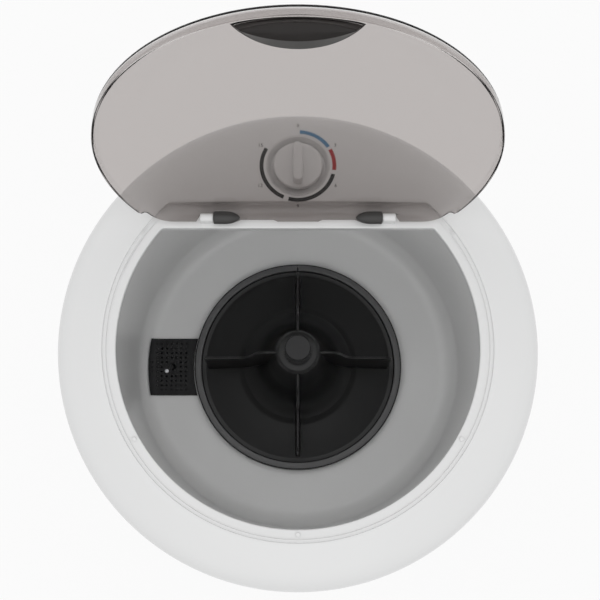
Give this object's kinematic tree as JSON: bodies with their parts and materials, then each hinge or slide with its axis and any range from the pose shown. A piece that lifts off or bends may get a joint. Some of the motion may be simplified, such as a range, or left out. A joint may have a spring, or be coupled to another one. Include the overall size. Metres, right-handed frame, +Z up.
{
  "type": "semi-automatic washing machine",
  "caption": "Round single-tub washing machine with a smoky hinged lid, a timer dial behind it and a finned pulsator driven by a belt.",
  "frame": {"origin": "on the floor, on the vertical axis of the round cabinet", "axes": "+Z up, -Y to the user's side, +X to the user's right"},
  "size_m": [0.492, 0.4987, 1.0559],
  "materials": {
    "white_body": "smooth satin",
    "white_cover": "smooth satin",
    "tub_plastic": "satin",
    "dark_plastic": "satin",
    "pulsator_plastic": "satin",
    "grip_plastic": "satin",
    "timer_plastic": "matt",
    "smoky_clear": "clear smoky plastic",
    "hose_rubber": "matt",
    "rubber": "matt",
    "steel": "zinc plated",
    "aluminium": "cast",
    "bronze": "sintered",
    "copper": "enamelled wire"
  },
  "bodies": {
    "machine": {"cabinet_shell": "white_body", "base_ring": "dark_plastic", "rubber_feet": "rubber", "top_cover": "white_cover", "cover_screws": "steel", "wash_tub": "tub_plastic", "tub_screws": "steel", "drain_grille": "dark_plastic", "grille_screw": "steel", "drain_sump": "dark_plastic", "sump_screws": "steel", "drain_hose": "hose_rubber", "hose_clips": "steel", "outlet_spigot": "dark_plastic", "cord_gland": "rubber", "timer_body": "timer_plastic", "timer_screws": "steel", "shaft_housing": "aluminium", "upper_bush": "bronze", "lower_bush": "bronze", "shaft_seal": "rubber", "housing_gasket": "rubber", "housing_nut": "tub_plastic", "drive_belt": "rubber", "motor_stack": "steel", "motor_windings": "copper", "upper_end_cap": "aluminium", "lower_end_cap": "aluminium", "motor_bearings": "bronze", "motor_screws": "steel", "motor_bracket": "steel", "bracket_screws": "steel", "motor_grommets": "rubber", "motor_bolts": "steel", "capacitor": "aluminium", "capacitor_strap": "steel", "strap_screws": "steel"},
    "lid": {"lid": "smoky_clear", "lid_grip": "grip_plastic", "left_hinge_cap": "grip_plastic", "right_hinge_cap": "grip_plastic", "hinge_pins": "steel"},
    "knob": {"timer_knob": "white_cover", "timer_shaft": "steel"},
    "pulsator": {"pulsator": "pulsator_plastic", "pulsator_cap": "pulsator_plastic", "pulsator_screw": "steel", "pulsator_shaft": "steel", "driven_pulley": "dark_plastic", "pulley_nut": "steel"},
    "rotor": {"motor_rotor": "steel", "motor_pulley": "dark_plastic", "pulley_grub_screw": "steel"}
  },
  "joints": [
    {"name": "lid_hinge", "type": "hinge", "parent": "machine", "child": "lid", "pos_m": [0, 0.1295, 0.7505], "axis": [1, 0, 0], "range_deg": [0, 110.5]},
    {"name": "knob_turn", "type": "hinge", "parent": "machine", "child": "knob", "pos_m": [0, 0.1862, 0.74654], "axis": [0, 0.1621, 0.9868], "range_deg": [-300, 0]},
    {"name": "pulsator_spin", "type": "hinge", "parent": "machine", "child": "pulsator", "pos_m": [0, 0.018, 0.4], "axis": [0, 0, 1], "continuous": true},
    {"name": "rotor_spin", "type": "hinge", "parent": "machine", "child": "rotor", "pos_m": [0.15, 0.018, 0.3], "axis": [0, 0, 1], "continuous": true}
  ],
  "couplings": [
    {"joint": "rotor_spin", "follows": "pulsator_spin", "ratio": 4.7629}
  ]
}
